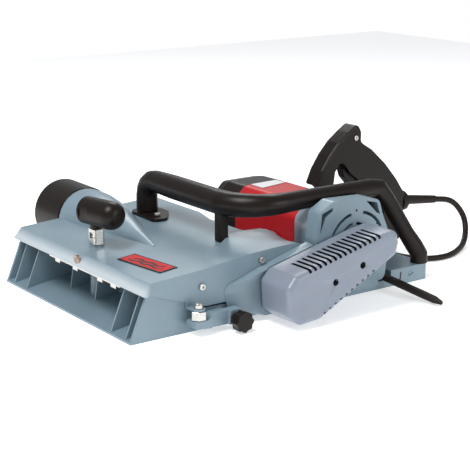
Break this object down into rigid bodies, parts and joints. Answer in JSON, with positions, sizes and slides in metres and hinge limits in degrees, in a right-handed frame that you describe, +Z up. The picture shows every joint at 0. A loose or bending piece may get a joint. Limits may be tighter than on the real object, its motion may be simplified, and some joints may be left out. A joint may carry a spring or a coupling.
{
  "type": "drum sander",
  "caption": "Wide hand-guided drum sander: sloping hood over a belt-driven drum, finned front shoe, dust port, bow handle, rear D handle and mains lead.",
  "frame": {"origin": "a point on the underside of the rear sole, in the machine's middle plane, 44 mm behind the front edge of the sole", "axes": "+X to the belt side, +Y rearward from the front shoe to the rear handle, +Z up from the work surface"},
  "size_m": [0.5282, 0.679, 0.2081],
  "materials": {
    "paint": "satin hammered-look paint",
    "cover_paint": "satin paint",
    "machined_aluminium": "machined",
    "black_plastic": "satin",
    "red_plastic": "semi-gloss",
    "rubber": "matt",
    "abrasive": "rough grit",
    "steel": "zinc plated",
    "dark_steel": "blackened",
    "laminations": "dull",
    "copper_steel": "varnished windings on a steel shaft",
    "label_red": "printed plate",
    "label_white": "printed film"
  },
  "bodies": {
    "base": {"arm_bolt": "steel", "arm_nut": "steel", "belt_cover": "cover_paint", "belt_housing": "paint", "bow_handle": "black_plastic", "bow_handle_foot": "black_plastic", "bow_handle_screw": "steel", "cable_boot": "rubber", "cable_coil": "rubber", "cable_collar": "rubber", "cover_screw_front": "dark_steel", "cover_screw_rear": "dark_steel", "depth_strip": "steel", "drive_belt": "rubber", "drum_bearing_left": "steel", "drum_bearing_right": "steel", "dust_port_sleeve": "black_plastic", "fan_housing": "paint", "handle_screw": "steel", "label_plate": "label_red", "lip_screw": "steel", "main_housing": "paint", "mains_cable": "rubber", "mains_plug": "black_plastic", "motor_bearing_left": "steel", "motor_bearing_right": "steel", "motor_end_cap": "black_plastic", "motor_housing": "red_plastic", "motor_label": "label_white", "motor_saddle": "paint", "motor_stator": "laminations", "parking_pivot": "steel", "rear_end_strip": "rubber", "rear_handle_left": "black_plastic", "rear_handle_right": "black_plastic", "rear_sole": "paint", "side_screw_front": "steel", "side_screw_rear": "steel", "switch_block": "black_plastic", "trigger_pin": "steel"},
    "drum": {"drum_core": "machined_aluminium", "abrasive_sleeve": "abrasive", "drum_pulley": "machined_aluminium"},
    "rotor": {"armature": "copper_steel", "cooling_fan": "black_plastic", "motor_pulley": "machined_aluminium"},
    "shoe": {"front_shoe": "paint", "shoe_guide_pin_left": "steel", "shoe_guide_pin_right": "steel"},
    "knob": {"depth_knob": "black_plastic", "knob_clevis": "steel", "clevis_pin": "steel", "depth_spindle": "steel"},
    "trigger": {"trigger": "black_plastic"},
    "lock_button": {"lock_button": "rubber"},
    "guide_arm": {"guide_arm": "paint"},
    "clamp": {"clamp_knob": "black_plastic", "clamp_stud": "steel"},
    "parking": {"parking_lever": "rubber"}
  },
  "joints": [
    {"name": "drum_spin", "type": "hinge", "parent": "base", "child": "drum", "pos_m": [0, -0.083, 0.041], "axis": [1, 0, 0], "continuous": true},
    {"name": "motor_spin", "type": "hinge", "parent": "base", "child": "rotor", "pos_m": [0, 0.0385, 0.084], "axis": [1, 0, 0], "continuous": true},
    {"name": "depth_knob_turn", "type": "hinge", "parent": "base", "child": "knob", "pos_m": [-0.014, -0.24, 0.1], "axis": [0, 0, 1], "range_deg": [0, 270]},
    {"name": "shoe_slide", "type": "slide", "parent": "base", "child": "shoe", "axis": [0, 0, 1], "range_m": [0, 0.003]},
    {"name": "trigger_press", "type": "hinge", "parent": "base", "child": "trigger", "pos_m": [0.045, 0.14, 0.148], "axis": [1, 0, 0], "range_deg": [0, 6], "stiffness_Nm_per_rad": 1.2, "springref_deg": -5.73},
    {"name": "lock_button_press", "type": "slide", "parent": "base", "child": "lock_button", "axis": [1, 0, 0], "range_m": [0, 0.003], "stiffness_N_per_m": 400, "springref_m": -0.002},
    {"name": "guide_arm_swing", "type": "hinge", "parent": "base", "child": "guide_arm", "pos_m": [0.184, -0.211, 0.018], "axis": [0, 0, 1], "range_deg": [-75, 0]},
    {"name": "clamp_knob_turn", "type": "hinge", "parent": "guide_arm", "child": "clamp", "pos_m": [0.2, -0.16, 0.0145], "axis": [1, 0, 0], "continuous": true},
    {"name": "parking_lever_swing", "type": "hinge", "parent": "base", "child": "parking", "pos_m": [0.162, 0.108, 0.018], "axis": [0, 0, 1], "range_deg": [-30, 33]}
  ],
  "couplings": [
    {"joint": "motor_spin", "follows": "drum_spin", "ratio": 2},
    {"joint": "depth_knob_turn", "follows": "shoe_slide", "rad_per_m": 1570}
  ]
}
